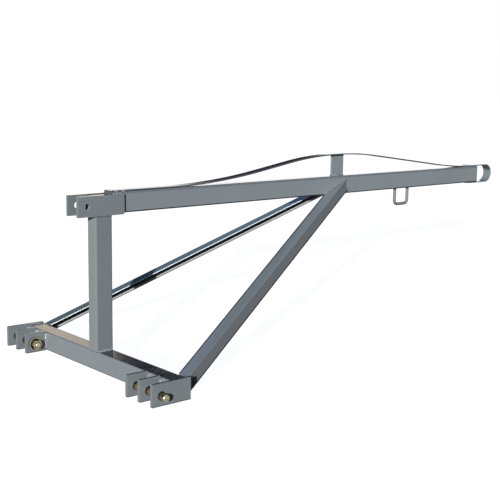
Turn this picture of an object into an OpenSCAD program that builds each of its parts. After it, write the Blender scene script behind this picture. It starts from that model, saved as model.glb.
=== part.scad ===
// Three-point boom pole: a crossmember with two sets of hitch lugs, a mast with a
// top-link clevis, a long boom held up by two angle braces, a strap over a post that
// stiffens the boom, and a bar wrapped round the boom's tip as a lifting eye.
// The origin is midway along the lower hitch axis, X runs out along the boom, Z is up.
// "Near" is the -Y side and "far" is the +Y side. All sizes are in millimetres.

/* [Hitch] */
// Height of the top-link hole above the lower hitch axis
hitch_h = 506.5; // [440:0.5:580]
// Distance of the top-link hole behind the lower hitch axis
top_hole_x = 6.5; // [0:0.5:12]
// Distance from the lower hitch axis back to the crossmember
hitch_setback = 42.5; // [32:0.5:60]
// Width over the two outer lugs
hitch_w = 880; // [780:1:960]
// Spacing of the three lugs of one side, centre to centre
lug_pitch = 64; // [56:0.5:80]
// Thickness of a lug plate
lug_t = 9.5; // [8:0.5:14]
// Height of a lug plate
lug_h = 69; // [66:0.5:80]
// How far a lug reaches in front of the hitch axis
lug_nose = 34; // [28:0.5:44]
// Corner radius of a lug plate
lug_r = 3; // [1:0.5:5]
// Diameter of the pin hole through the lugs
lug_hole_d = 27; // [25:0.1:28.5]

/* [Crossmember] */
// Outer size of the square crossmember tube
beam_s = 63.5; // [58:0.5:65]
// Wall of the crossmember tube
beam_wall = 4.8; // [3:0.1:6.5]
// Outer corner radius of the crossmember and mast tubes
tube_r = 6.5; // [4:0.5:9]

/* [Mast] */
// Width of the mast and boom tubes across the implement
mast_w = 50; // [46:0.5:60]
// Wall of the mast tube
mast_wall = 4; // [3:0.1:6]
// How far the mast head stays below the top of the boom
head_drop = 8.5; // [4:0.5:14]
// Thickness of the plate that closes the mast head
cap_t = 3; // [2:0.5:6]

/* [Clevis] */
// Height of a clevis plate
clevis_h = 66; // [58:0.5:68]
// Thickness of a clevis plate
clevis_t = 9.5; // [8:0.5:12]
// Length of a clevis plate in front of the top-link hole
clevis_nose = 33; // [26:0.5:40]
// Length of a clevis plate that laps the boom behind the mast
clevis_lap = 39.5; // [25:0.5:60]
// Corner radius of a clevis plate
clevis_r = 2; // [1:0.5:4]
// Diameter of the top-link hole
top_hole_d = 20; // [19.3:0.1:26]

/* [Boom] */
// Height of the boom tube
boom_h = 69; // [64:0.5:76]
// Length of the boom behind the mast
boom_len = 1886; // [1700:1:2050]
// Wall of the boom tube
boom_wall = 3.5; // [2.5:0.1:5]
// Outer corner radius of the boom tube
boom_r = 6; // [4:0.5:8]
// Height of the boom's centre line above the top-link hole
boom_lift = 4.5; // [1:0.5:7]

/* [Braces] */
// Leg width of the brace angle iron
angle_leg = 40; // [32:0.5:42]
// Thickness of the brace angle iron
angle_t = 4.8; // [4:0.1:6.5]
// Inside fillet radius of the brace angle iron
angle_fillet = 4; // [2:0.5:6]
// How far a brace heel lies behind the centre of the post
brace_lag = 30; // [0:0.5:60]
// Depth of the brace heel below the top of the boom
brace_head_drop = 13.5; // [10:0.5:16]
// Gap between a brace foot and the outer lug beside it
brace_inset = 4; // [1:0.5:10]
// Height of the brace foot above the top of the crossmember
brace_foot_rise = 2; // [0:0.5:2.5]

/* [Strap and post] */
// Width of the bar that makes the strap and the eye
strap_w = 38.1; // [30:0.1:46]
// Thickness of the bar that makes the strap and the eye
strap_t = 4.76; // [3:0.02:6]
// Overhang of the strap over the mast at its front end
strap_lip = 2.5; // [0:0.5:12]
// Height of the strap crest over the boom
crest_h = 80; // [60:0.2:95]
// Slope of the strap in front of the post, in degrees
rise_slope = 9.5; // [8:0.1:11]
// Flat length of the strap between its rear bend and the eye
strap_foot = 2; // [1:0.5:30]
// Bend radius under the crest
crest_bend = 1550; // [1000:10:1700]
// Bend radius where the strap rises from the boom
rise_bend = 2450; // [1200:10:2600]
// Bend radius where the strap comes down on the boom
fall_bend = 1500; // [800:10:1700]
// Distance from the centre of the post to the boom's tip
post_to_tip = 849.5; // [820:0.5:900]
// Width of the post along the boom
post_w = 63.5; // [50:0.5:80]
// Thickness of the post
post_t = 6.35; // [5:0.05:10]

/* [End eye] */
// Clear length from the tube end to the start of the eye's bend
eye_run = 68; // [30:1:90]
// Length of the eye's two ends on the boom
eye_lap = 49; // [30:1:60]

/* [Chain loop] */
// Diameter of the loop's rod
loop_rod_d = 12.7; // [9:0.1:16]
// Spacing of the loop's legs, centre to centre
loop_w = 76.4; // [60:0.2:100]
// Depth of the rod's centre below the boom
loop_drop = 65.8; // [45:0.2:90]
// Bend radius of the loop at the rod's centre
loop_bend = 16; // [12:0.5:24]
// Distance from the centre of the loop to the boom's tip
loop_to_tip = 471; // [300:1:640]

/* [Hitch pins] */
// Diameter of the pin shaft
pin_d = 22.2; // [18:0.1:23]
// Length of shaft outside the outer lug
pin_out = 26; // [22:0.5:36]
// Chamfer at both ends of the pin
pin_chamfer = 2; // [0.5:0.1:3]
// Diameter of the linchpin hole
linch_d = 11; // [6:0.1:12]
// Distance of the linchpin hole from the outer end
linch_x = 13; // [11:0.5:15]
// Diameter of the threaded stud
stud_d = 19.05; // [14:0.05:19.05]
// Length of stud beyond the nut
stud_out = 4; // [2.5:0.5:10]
// Diameter of the washer
washer_d = 46; // [42:0.5:52]
// Thickness of the washer
washer_t = 4; // [2.5:0.1:6]
// Size of the nut across its flats
nut_af = 28.6; // [26:0.1:32]
// Height of the nut
nut_h = 16.3; // [12:0.1:20]

/* [Fits] */
// Clearance under the pin where it lies in the lug holes
pin_rest = 0.1; // [0.05:0.01:0.1]
// Radial clearance of the washer on the stud
washer_fit = 0.5; // [0.2:0.05:0.6]

/* [Hidden] */
$fn = 64;

paint = [0.47, 0.50, 0.52];
zinc = [0.80, 0.76, 0.55];

// Cuts run past the faces that they open by this much.
past = 1;
// Steps in a foot bend of the strap, and in the half circle of the eye.
bend_steps = 9;
eye_steps = 36;

beam_top = beam_s / 2;
beam_back = hitch_setback + beam_s;
beam_half = hitch_w / 2 - lug_t;

boom_bottom = hitch_h + boom_lift - boom_h / 2;
boom_top = boom_bottom + boom_h;
boom_mid = boom_bottom + boom_h / 2;
boom_end = beam_back + boom_len;
mast_top = boom_top - head_drop;
post_x = boom_end - post_to_tip;

clevis_front = top_hole_x - clevis_nose;
clevis_len = beam_back + clevis_lap - clevis_front;

brace_foot = [beam_back, hitch_w / 2 - lug_t - brace_inset, beam_top + brace_foot_rise];
brace_head = [post_x + brace_lag, mast_w / 2, boom_top - brace_head_drop];
brace_run = brace_head[0] - brace_foot[0];
brace_rise = brace_head[2] - brace_foot[2];
brace_tilt = atan2(brace_rise, brace_run);
brace_yaw = atan2(brace_foot[1] - brace_head[1], norm([brace_run, brace_rise]));
brace_len = norm(brace_head - brace_foot);
// Spare length at each end of a brace, trimmed off where it meets its neighbours.
brace_spare = 3 * angle_leg;

// The eye bends round the boom's height. Its ends lie on the boom, and the strap's rear
// end meets the upper one.
eye_bend = boom_h / 2;
eye_x = boom_end + eye_run;
eye_start = boom_end - eye_lap;

// The strap's underside: flat, rising bend, slope, crest, slope, falling bend, flat.
// In front the slope sets where the strap lifts off. Behind, both ends are set, and the
// slope is the one that leaves each bend along its tangent. The crest is over the post.
rise_bends = crest_bend + rise_bend;
rise_straight = (crest_h - rise_bends * (1 - cos(rise_slope))) / sin(rise_slope);
rise_start = post_x - rise_bends * sin(rise_slope) - rise_straight * cos(rise_slope);
fall_end = eye_start - strap_foot;
fall_bends = crest_bend + fall_bend;
fall_slope = asin(fall_bends / norm([fall_end - post_x, fall_bends - crest_h]))
    - atan2(fall_bends - crest_h, fall_end - post_x);

lug_inner_face = hitch_w / 2 - 2 * lug_pitch - lug_t;
pin_outer_end = hitch_w / 2 + pin_out;
pin_drop = lug_hole_d / 2 - pin_d / 2 - pin_rest;
stud_len = washer_t + nut_h + stud_out;

// Rectangle with rounded corners, centred on the origin.
module rounded_rect(w, h, r) {
    square([w - 2 * r, h], center = true);
    square([w, h - 2 * r], center = true);
    for (x = [-1, 1], y = [-1, 1])
        translate([x * (w / 2 - r), y * (h / 2 - r)]) circle(r);
}

// Section of a rectangular tube, centred on the origin.
module tube_section(w, h, r, wall) {
    difference() {
        rounded_rect(w, h, r);
        rounded_rect(w - 2 * wall, h - 2 * wall, max(r - wall, 0.5));
    }
}

// Stands a drawing of X and Z upright, as thick as t, with its middle at y.
module upright(t, y = 0) {
    translate([0, y + t / 2, 0]) rotate([90, 0, 0]) linear_extrude(t) children();
}

// The far side is the near side's mirror image.
module far_side() {
    mirror([0, 1, 0]) children();
}

module crossmember() {
    color(paint)
        translate([hitch_setback + beam_s / 2, beam_half, 0]) rotate([90, 0, 0])
            linear_extrude(2 * beam_half) tube_section(beam_s, beam_s, tube_r, beam_wall);
}

module mast() {
    color(paint)
        translate([hitch_setback + beam_s / 2, 0, beam_top])
            linear_extrude(mast_top - cap_t - beam_top)
                tube_section(beam_s, mast_w, tube_r, mast_wall);
}

module mast_cap() {
    color(paint)
        translate([hitch_setback + beam_s / 2, 0, mast_top - cap_t])
            linear_extrude(cap_t) rounded_rect(beam_s, mast_w, tube_r);
}

module boom() {
    color(paint)
        translate([beam_back, 0, boom_mid]) rotate([90, 0, 90])
            linear_extrude(boom_len) tube_section(mast_w, boom_h, boom_r, boom_wall);
}

// Plate with rounded corners and one hole, drawn in X and Z from its front lower corner.
module holed_plate(len, h, r, hole_d, hole_at) {
    difference() {
        translate([len / 2, h / 2]) rounded_rect(len, h, r);
        translate(hole_at) circle(d = hole_d);
    }
}

module clevis_plate() {
    color(paint)
        translate([clevis_front, 0, hitch_h - clevis_h / 2])
            upright(clevis_t, -(mast_w + clevis_t) / 2)
                holed_plate(clevis_len, clevis_h, clevis_r, top_hole_d,
                            [clevis_nose, clevis_h / 2]);
}

// Section of the angle iron: its heel is at the origin, one leg lies flat, one hangs.
module angle_section() {
    difference() {
        translate([0, -angle_leg]) square(angle_leg);
        difference() {
            translate([angle_t, -angle_leg - past])
                square([angle_leg - angle_t + past, angle_leg - angle_t + past]);
            translate([angle_t, -angle_t - angle_fillet]) difference() {
                square(angle_fillet);
                translate([angle_fillet, 0]) circle(angle_fillet);
            }
        }
    }
}

// The brace is trimmed flat to the crossmember's back and to the boom's side.
module brace() {
    color(paint)
        intersection() {
            translate([brace_foot[0], -brace_foot[1], brace_foot[2]])
                rotate([0, -brace_tilt, 0]) rotate([0, 0, brace_yaw])
                    translate([-brace_spare, 0, 0]) rotate([90, 0, 90])
                        linear_extrude(brace_len + 2 * brace_spare) angle_section();
            translate([beam_back, -hitch_w / 2, -beam_s])
                cube([boom_len, hitch_w / 2 - mast_w / 2, hitch_h + boom_h + beam_s]);
        }
}

// Points of an arc about c, from angle a to angle b.
function arc(c, r, a, b, steps) =
    [for (i = [0:steps]) let (at = a + (b - a) * i / steps) c + r * [cos(at), sin(at)]];

// One side of the strap in X and Z, at height d over its underside, from the mast to the
// eye. Z = 0 is the top of the boom. The straights join the end of each arc to the next.
function strap_side(d) = concat(
    [[beam_back - strap_lip, d]],
    arc([rise_start, rise_bend], rise_bend - d, 270, 270 + rise_slope, bend_steps),
    arc([post_x, crest_h - crest_bend], crest_bend + d, 90 + rise_slope, 90 - fall_slope,
        2 * bend_steps),
    arc([fall_end, fall_bend], fall_bend - d, 270 - fall_slope, 270, bend_steps),
    [[eye_start, d]]
);

// One side of the eye in the same drawing, from its upper end to its lower one.
function eye_side(d) = concat(
    [[eye_start, d]],
    arc([eye_x, -eye_bend], eye_bend + d, 90, -90, eye_steps),
    [[eye_start, -boom_h - d]]
);

function backwards(list) = [for (i = [len(list) - 1:-1:0]) list[i]];

module truss_strap() {
    color(paint)
        translate([0, 0, boom_top]) upright(strap_w)
            polygon(concat(strap_side(0), backwards(strap_side(strap_t))));
}

module end_eye() {
    color(paint)
        translate([0, 0, boom_top]) upright(strap_w)
            polygon(concat(eye_side(0), backwards(eye_side(strap_t))));
}

// The post fills the space between the boom and the strap's underside.
module strut_post() {
    color(paint)
        translate([0, 0, boom_top]) upright(post_t)
            intersection() {
                translate([post_x - post_w / 2, 0]) square([post_w, 2 * crest_h]);
                polygon(concat([[beam_back, -past]], strap_side(0), [[eye_start, -past]]));
            }
}

module chain_loop() {
    half = loop_w / 2;
    color(paint)
        translate([boom_end - loop_to_tip, 0, boom_bottom - loop_drop]) {
            for (side = [-1, 1]) {
                translate([side * half, 0, loop_bend])
                    cylinder(h = loop_drop - loop_bend, d = loop_rod_d);
                translate([side * (half - loop_bend), 0, loop_bend])
                    rotate([90, 0, 0]) rotate(side > 0 ? -90 : 180)
                        rotate_extrude(angle = 90) translate([loop_bend, 0])
                            circle(d = loop_rod_d);
            }
            translate([-(half - loop_bend), 0, 0]) rotate([0, 90, 0])
                cylinder(h = loop_w - 2 * loop_bend, d = loop_rod_d);
        }
}

// A lug of the near side. The outer one is long and covers the crossmember's end.
module lug(index, len) {
    color(paint)
        translate([-lug_nose, 0, -beam_top])
            upright(lug_t, -(hitch_w - lug_t) / 2 + index * lug_pitch)
                holed_plate(len, lug_h, lug_r, lug_hole_d, [lug_nose, beam_top]);
}

module outer_lug() {
    lug(0, lug_nose + beam_back);
}

module front_lug(index) {
    lug(index, lug_nose + hitch_setback);
}

// Places a piece of the near pin: its local Z runs outward from the inner lug's face.
module on_near_pin() {
    translate([0, -lug_inner_face, -pin_drop]) rotate([90, 0, 0]) children();
}

module hitch_pin() {
    shaft = pin_outer_end - lug_inner_face;
    color(zinc)
        on_near_pin() difference() {
            union() {
                cylinder(h = shaft - pin_chamfer, d = pin_d);
                translate([0, 0, shaft - pin_chamfer])
                    cylinder(h = pin_chamfer, d1 = pin_d, d2 = pin_d - 2 * pin_chamfer);
                translate([0, 0, pin_chamfer - stud_len])
                    cylinder(h = stud_len - pin_chamfer, d = stud_d);
                translate([0, 0, -stud_len])
                    cylinder(h = pin_chamfer, d1 = stud_d - 2 * pin_chamfer, d2 = stud_d);
            }
            translate([0, 0, shaft - linch_x]) rotate([0, 90, 0]) rotate([45, 0, 0])
                cylinder(h = 2 * pin_d, d = linch_d, center = true);
        }
}

module pin_washer() {
    color(zinc)
        on_near_pin() translate([0, 0, -washer_t]) difference() {
            cylinder(h = washer_t, d = washer_d);
            translate([0, 0, -past])
                cylinder(h = washer_t + 2 * past, d = stud_d + 2 * washer_fit);
        }
}

// Hexagon with the corners turned off at both ends.
module pin_nut() {
    corner_d = nut_af / cos(30);
    turned = (corner_d - nut_af) / 2;
    color(zinc)
        on_near_pin() translate([0, 0, -washer_t - nut_h]) difference() {
            intersection() {
                cylinder(h = nut_h, d = corner_d, $fn = 6);
                union() {
                    cylinder(h = turned / 2, d1 = nut_af, d2 = corner_d + past);
                    translate([0, 0, turned / 2])
                        cylinder(h = nut_h - turned, d = corner_d + past);
                    translate([0, 0, nut_h - turned / 2])
                        cylinder(h = turned / 2, d1 = corner_d + past, d2 = nut_af);
                }
            }
            translate([0, 0, -past]) cylinder(h = nut_h + 2 * past, d = stud_d);
        }
}

crossmember();
mast();
mast_cap();
boom();
clevis_plate();  // clevis_plate_near
far_side() clevis_plate();  // clevis_plate_far
brace();  // brace_near
far_side() brace();  // brace_far
truss_strap();
strut_post();
end_eye();
chain_loop();
outer_lug();  // lug_near_outer
front_lug(1);  // lug_near_middle
front_lug(2);  // lug_near_inner
far_side() outer_lug();  // lug_far_outer
far_side() front_lug(1);  // lug_far_middle
far_side() front_lug(2);  // lug_far_inner
hitch_pin();  // hitch_pin_near
pin_washer();  // pin_washer_near
pin_nut();  // pin_nut_near
far_side() hitch_pin();  // hitch_pin_far
far_side() pin_washer();  // pin_washer_far
far_side() pin_nut();  // pin_nut_far
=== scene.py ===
# %% [markdown]
# # A three-point boom pole
#
# This is a tractor implement: a crossmember with hitch lugs, a mast, and a long boom
# held up by two angle braces. A flat strap runs over a post to stiffen the boom, and a
# bar is wrapped round its tip as a lifting eye. All of it is welded steel with a grey
# powder coat. Only the two hitch pins, with their washers and nuts, come off.
#
# The solids come packed, in metres, with X along the boom, Y across and Z up. This file
# gives them their finish and adds what a solid model leaves out: the rolled edges of the
# flat bars, the round toes and fillets of the angle irons, and the weld beads.

# %% Load the solids
import bpy
import numpy as np
from mathutils import Matrix, Vector


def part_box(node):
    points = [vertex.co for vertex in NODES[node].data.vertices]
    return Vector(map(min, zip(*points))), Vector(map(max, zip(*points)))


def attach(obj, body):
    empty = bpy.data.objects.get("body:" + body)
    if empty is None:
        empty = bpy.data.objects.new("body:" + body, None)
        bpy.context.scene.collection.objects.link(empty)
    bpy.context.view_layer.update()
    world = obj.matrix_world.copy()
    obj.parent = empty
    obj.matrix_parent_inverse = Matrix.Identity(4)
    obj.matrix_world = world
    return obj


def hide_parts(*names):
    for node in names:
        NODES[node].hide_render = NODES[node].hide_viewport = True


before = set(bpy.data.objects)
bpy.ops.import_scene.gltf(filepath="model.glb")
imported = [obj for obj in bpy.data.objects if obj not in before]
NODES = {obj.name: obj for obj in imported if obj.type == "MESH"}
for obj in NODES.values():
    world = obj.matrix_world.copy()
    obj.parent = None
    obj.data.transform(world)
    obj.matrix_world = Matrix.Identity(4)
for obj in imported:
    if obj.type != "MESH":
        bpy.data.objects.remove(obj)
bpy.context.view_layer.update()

# %% [markdown]
# ## Sizes
#
# The places of joints are read from the boxes of the solids themselves, so a bead can't
# drift away from the piece that carries it. A size that no box shows, such as the corner
# radius of the square tubes, is written down where it is first needed.

# %% Read the sizes from the solids
MM = 0.001


def span(node, axis):
    """Lowest and highest value of a node along one axis, in metres."""
    low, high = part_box(node)
    return low[axis], high[axis]


X, Y, Z = 0, 1, 2
SIDES = ((-1, "near"), (1, "far"))
BEAM_X = span("crossmember", X)
BEAM_Z = span("crossmember", Z)
MAST_Y = span("mast", Y)
BOOM_X = span("boom", X)
BOOM_Z = span("boom", Z)
BAR_T = span("end_eye", Z)[1] - BOOM_Z[1]
CREST_Z = span("strut_post", Z)[1]
print("boom:", round(BOOM_X[1] - BOOM_X[0], 4), "m long, bar:", round(BAR_T / MM, 2), "mm thick")

# %% [markdown]
# ## Working with shader nodes
#
# A material is a graph of nodes, and each node could be placed by hand in the editor. In
# a script every node costs several lines, so small helpers keep the graphs readable: add()
# places a node and fills or wires its inputs, and the others are the few kinds of node
# that every finish needs, such as a product, a mix of two colours, a stretched range and
# noise.

# %% Shader helpers


def add(tree, kind, values=None, **settings):
    """Adds a node of one kind, with its settings and its input values or links."""
    node = tree.nodes.new(kind)
    for name, value in settings.items():
        setattr(node, name, value)
    for name, value in (values or {}).items():
        if isinstance(value, bpy.types.NodeSocket):
            tree.links.new(value, node.inputs[name])
        else:
            node.inputs[name].default_value = value
    return node


def wire(tree, node, values):
    """Wires results into a node's inputs, by name."""
    for name, value in values.items():
        tree.links.new(value, node.inputs[name])


def maths(tree, operation, *values):
    """Adds a maths node and gives its result socket."""
    return add(tree, "ShaderNodeMath", dict(enumerate(values)), operation=operation).outputs[0]


def times(tree, first, second):
    """The product of two values."""
    return maths(tree, "MULTIPLY", first, second)


def xyz(tree, vector):
    """The three parts of a vector, by name."""
    return add(tree, "ShaderNodeSeparateXYZ", {0: vector}).outputs


def facing(tree, normal, direction):
    """The dot product of two directions: one where they agree, and less as they part."""
    return add(tree, "ShaderNodeVectorMath", {0: normal, 1: direction},
               operation="DOT_PRODUCT").outputs["Value"]


def blend_colour(tree, mask, first, second):
    """Mixes two colours by a mask."""
    return add(tree, "ShaderNodeMix", {0: mask, 6: first, 7: second},
               data_type="RGBA").outputs[2]


def remap(tree, value, low, high, to_low=0.0, to_high=1.0):
    """Stretches low..high to to_low..to_high, clamped."""
    return add(tree, "ShaderNodeMapRange", {
        "Value": value, "From Min": low, "From Max": high,
        "To Min": to_low, "To Max": to_high}).outputs[0]


def noise(tree, where, scale, detail=3.0, roughness=0.5):
    """A noise value about 0.5 at the given scale per metre."""
    return add(tree, "ShaderNodeTexNoise", {
        "Vector": where, "Scale": scale, "Detail": detail,
        "Roughness": roughness}).outputs["Fac"]


def bump(tree, height, strength):
    """A normal that leans as a height in metres rises and falls."""
    return add(tree, "ShaderNodeBump", {
        "Height": height, "Distance": 1.0, "Strength": strength}).outputs[0]


# %% [markdown]
# ## Node groups
#
# Several finishes share an effect such as worn edges. Its nodes could be built again in
# each material, but a node group is built once, takes named inputs and gives named
# outputs, and is then placed like any other node, with values of its own in each finish.

# %% Helpers for node groups


def new_group(name, inputs, outputs):
    """Starts a node group: gives its tree, its input node and its output node."""
    tree = bpy.data.node_groups.new(name, "ShaderNodeTree")
    for label, kind, value in inputs:
        socket = tree.interface.new_socket(label, in_out="INPUT", socket_type=kind)
        if value is not None:
            socket.default_value = value
    for label, kind in outputs:
        tree.interface.new_socket(label, in_out="OUTPUT", socket_type=kind)
    return tree, tree.nodes.new("NodeGroupInput"), tree.nodes.new("NodeGroupOutput")


def use_group(tree, group, values):
    """Places a node group in a material and gives its outputs, by name."""
    return add(tree, "ShaderNodeGroup", values, node_tree=group).outputs


# %% [markdown]
# ## The orange peel of a powder coat
#
# Powder melts on the hot steel and flows out, but not quite flat: the skin keeps small
# soft dimples 1 to 2 mm wide, over broader waves of the mill-rolled steel below. In the
# mesh they would take millions of faces, so both are noise heights, in metres, that a bump
# node turns into shading.

# %% Group: coat surface


def make_coat_surface():
    """Height = dimples + rolling waves. Both are centred on zero."""
    tree, given, out = new_group(
        "coat surface",
        [("Vector", "NodeSocketVector", None),
         ("Dimple Scale", "NodeSocketFloat", 700.0),
         ("Dimple Height", "NodeSocketFloat", 0.00002),
         ("Wave Height", "NodeSocketFloat", 0.0001)],
        [("Height", "NodeSocketFloat")])
    where = given.outputs["Vector"]
    dimples = noise(tree, where, given.outputs["Dimple Scale"], detail=2.0)
    waves = noise(tree, where, 14.0, detail=1.0)
    dimple_height = times(tree, maths(tree, "SUBTRACT", dimples, 0.5),
                          given.outputs["Dimple Height"])
    wave_height = times(tree, maths(tree, "SUBTRACT", waves, 0.5),
                        given.outputs["Wave Height"])
    wire(tree, out, {"Height": maths(tree, "ADD", dimple_height, wave_height)})
    return tree


COAT_SURFACE = make_coat_surface()
print("group:", COAT_SURFACE.name, "with", len(COAT_SURFACE.nodes), "nodes")

# %% [markdown]
# ## Worn and highlighted edges
#
# Paint thins over a sharp edge and is the first thing to be knocked. The pale rim that marks
# it is also a painted highlight, the glint that a rounded edge would catch. Edges could be
# painted by hand on each mesh, but a mask that finds them works on all the pieces at once.
# The bevel node gives the normal that a rounded edge would have, so one minus its dot
# product with the true normal is such a mask. Noise breaks it up into chips.

# %% Group: worn and highlighted edges


def make_worn_and_lit_edges():
    """Mask = how far the rounded normal turns from the true one, broken up by noise."""
    tree, given, out = new_group(
        "worn and highlighted edges",
        [("Vector", "NodeSocketVector", None),
         ("Radius", "NodeSocketFloat", 0.0012),
         ("Chip Scale", "NodeSocketFloat", 160.0)],
        [("Rim", "NodeSocketFloat"), ("Chips", "NodeSocketFloat")])
    rounded = add(tree, "ShaderNodeBevel", {"Radius": given.outputs["Radius"]}, samples=6)
    flat = add(tree, "ShaderNodeNewGeometry").outputs["True Normal"]
    agreement = facing(tree, rounded.outputs[0], flat)
    rim = remap(tree, maths(tree, "SUBTRACT", 1.0, agreement), 0.01, 0.22)
    flecks = noise(tree, given.outputs["Vector"], given.outputs["Chip Scale"], detail=5.0,
                   roughness=0.65)
    chips = times(tree, rim, remap(tree, flecks, 0.56, 0.64))
    wire(tree, out, {"Rim": rim, "Chips": chips})
    return tree


WORN_AND_LIT_EDGES = make_worn_and_lit_edges()
print("group:", WORN_AND_LIT_EDGES.name, "with", len(WORN_AND_LIT_EDGES.nodes), "nodes")

# %% [markdown]
# ## Shade on tops and undersides
#
# Faces that look down are in shade, and level tops seen at a flat angle look dark, so both
# are darkened as painted shade. The mask is read from the upward part of the normal: full
# where a face looks straight up, times a cloudy noise so that it is never even, and full
# again where a face looks down.

# %% Group: painted shade on tops and undersides


def make_top_and_under_shade():
    """Mask = larger of (faces up, times cloudy noise) and (faces down), times the amount."""
    tree, given, out = new_group(
        "top_under_shade",
        [("Vector", "NodeSocketVector", None), ("Amount", "NodeSocketFloat", 0.3)],
        [("Mask", "NodeSocketFloat")])
    normal = add(tree, "ShaderNodeNewGeometry").outputs["Normal"]
    up = xyz(tree, normal)["Z"]
    lying = remap(tree, up, 0.94, 0.98)
    clouds = noise(tree, given.outputs["Vector"], 22.0, detail=6.0, roughness=0.62)
    lying = times(tree, lying, remap(tree, clouds, 0.3, 0.6, 0.7, 1.0))
    mask = maths(tree, "MAXIMUM", lying, remap(tree, up, -0.25, -0.5))
    wire(tree, out, {"Mask": times(tree, mask, given.outputs["Amount"])})
    return tree


TOP_AND_UNDER_SHADE = make_top_and_under_shade()
print("group:", TOP_AND_UNDER_SHADE.name, "with", len(TOP_AND_UNDER_SHADE.nodes), "nodes")

# %% [markdown]
# ## Shade in inner corners
#
# Little light gets where two pieces meet, so corners are darkened as painted shade. A dark
# line could be modelled along each joint, but the ambient occlusion node finds them all:
# its short rays tell how closed in a point is.

# %% Group: painted shade in inner corners


def make_corner_shade():
    """Mask = how much of the near surroundings is blocked, within a short distance."""
    tree, given, out = new_group(
        "painted corner shade", [("Distance", "NodeSocketFloat", 0.008)],
        [("Mask", "NodeSocketFloat")])
    shut = add(tree, "ShaderNodeAmbientOcclusion", {"Distance": given.outputs["Distance"]},
               samples=8).outputs["AO"]
    wire(tree, out, {"Mask": remap(tree, shut, 0.85, 0.45)})
    return tree


CORNER_SHADE = make_corner_shade()
print("group:", CORNER_SHADE.name, "with", len(CORNER_SHADE.nodes), "nodes")

# %% [markdown]
# ## An empty material
#
# Every finish starts the same way: a material whose nodes are cleared, one Principled
# shader, which is Blender's general model of paint, metal and plastic, and the object's
# own coordinates in metres, so that a pattern has its real size on every piece.

# %% Start a material


def start_material(name):
    """An empty node material with its Principled shader and object coordinates."""
    material = bpy.data.materials.new(name)
    material.use_nodes = True
    tree = material.node_tree
    tree.nodes.clear()
    shader = tree.nodes.new("ShaderNodeBsdfPrincipled")
    wire(tree, tree.nodes.new("ShaderNodeOutputMaterial"), {"Surface": shader.outputs[0]})
    where = tree.nodes.new("ShaderNodeTexCoord").outputs["Object"]
    return material, tree, shader, where


# %% [markdown]
# ## The tone of the coat
#
# The paint is a cool grey with a semi-gloss skin. One flat colour could stand for it, but
# powder drifts a little from batch to batch and where it lies thick. So a slow noise
# shifts the tone and a fine one mottles it. On welds a spotty noise darkens it as well,
# because the coat is thin and uneven over the slag and soot of a bead.

# %% Tone of the coat


def shade(tone, factor):
    """The same hue at another lightness: each channel times the factor, at most one."""
    return [min(1.0, factor * channel) for channel in tone[:3]] + [1.0]


def coat_tone(tree, where, tone, patches):
    """The tone, mixed with its darker shades by a slow, a fine and a spotty noise."""
    drift = remap(tree, noise(tree, where, 5.0, detail=4.0), 0.35, 0.65)
    base = blend_colour(tree, drift, tone, shade(tone, 0.93))
    mottle = remap(tree, noise(tree, where, 260.0, detail=3.0), 0.3, 0.7, 0.0, 0.12)
    base = blend_colour(tree, mottle, base, shade(tone, 0.75))
    spots = remap(tree, noise(tree, where, 170.0, detail=2.0), 0.46, 0.58, 0.0, patches)
    return blend_colour(tree, spots, base, shade(tone, 0.3))


# %% [markdown]
# ## Wear, painted highlight and painted shade on the coat
#
# Powder pulls back from a sharp edge, so rims are paler, and the pale rim is also a painted
# highlight. A few chips go down to a dull primer. Flat tops, undersides and inner corners
# are darkened as painted shade. A painter would lay these over the tone as glazes, one after
# the other, and so does this: each is a mix whose mask comes from one of the groups above.

# %% Wear, painted highlight and painted shade on the coat
PRIMER = (0.16, 0.15, 0.14, 1.0)
# Painted shade on tops and undersides.
TOP_UNDER_SHADE_TONE = (0.035, 0.035, 0.036, 1.0)
# Painted shade in inner corners.
CORNER_SHADE_TONE = (0.02, 0.02, 0.022, 1.0)
CORNER_REACH = 8 * MM


def worn_lit_and_shaded_coat(tree, where, base, pale, rim, edge, top_under_shade):
    """Worn and highlighted rims, chips and painted shade over a base colour, and the shade's
    mask.
    """
    edges = use_group(tree, WORN_AND_LIT_EDGES, {"Vector": where, "Radius": edge})
    # Pale rims: wear, and a painted highlight.
    base = blend_colour(tree, times(tree, edges["Rim"], rim), base, pale)
    base = blend_colour(tree, times(tree, edges["Chips"], 0.55), base, PRIMER)
    # Painted shade on tops and undersides, then in inner corners.
    top_under_shade_mask = use_group(tree, TOP_AND_UNDER_SHADE, {"Vector": where, "Amount": top_under_shade})["Mask"]
    base = blend_colour(tree, top_under_shade_mask, base, TOP_UNDER_SHADE_TONE)
    shut = use_group(tree, CORNER_SHADE, {"Distance": CORNER_REACH})["Mask"]
    return blend_colour(tree, times(tree, shut, 0.85), base, CORNER_SHADE_TONE), top_under_shade_mask


# %% [markdown]
# ## Painted light and shade in bands and zones
#
# Some light and shade is painted into the coat: a thin band of painted shade along the
# corner of a tube, painted shadows under the strap and the boom, the free edges of the near
# angle in painted shade, a lighter front on the mast, and on the inner face of the far angle
# a strip of painted glare beside a black band of painted shadow. A lamp or a shield could be
# set up for each of them, but it would touch all the pieces around it. So a coat may carry
# bands, by height, and zones, by the direction that a face looks in and by limits across it.
# For an angle iron the limits are distances from its heel, which the piece keeps as an
# attribute of its points.

# %% Bands and zones of painted light and shade
# Painted shade and painted shadow in bands.
SHADE_LINE = (0.01, 0.011, 0.013, 1.0)
# Painted shade on the toes of an angle.
TOE_SHADE_LINE = (0.012, 0.013, 0.015, 1.0)


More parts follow.
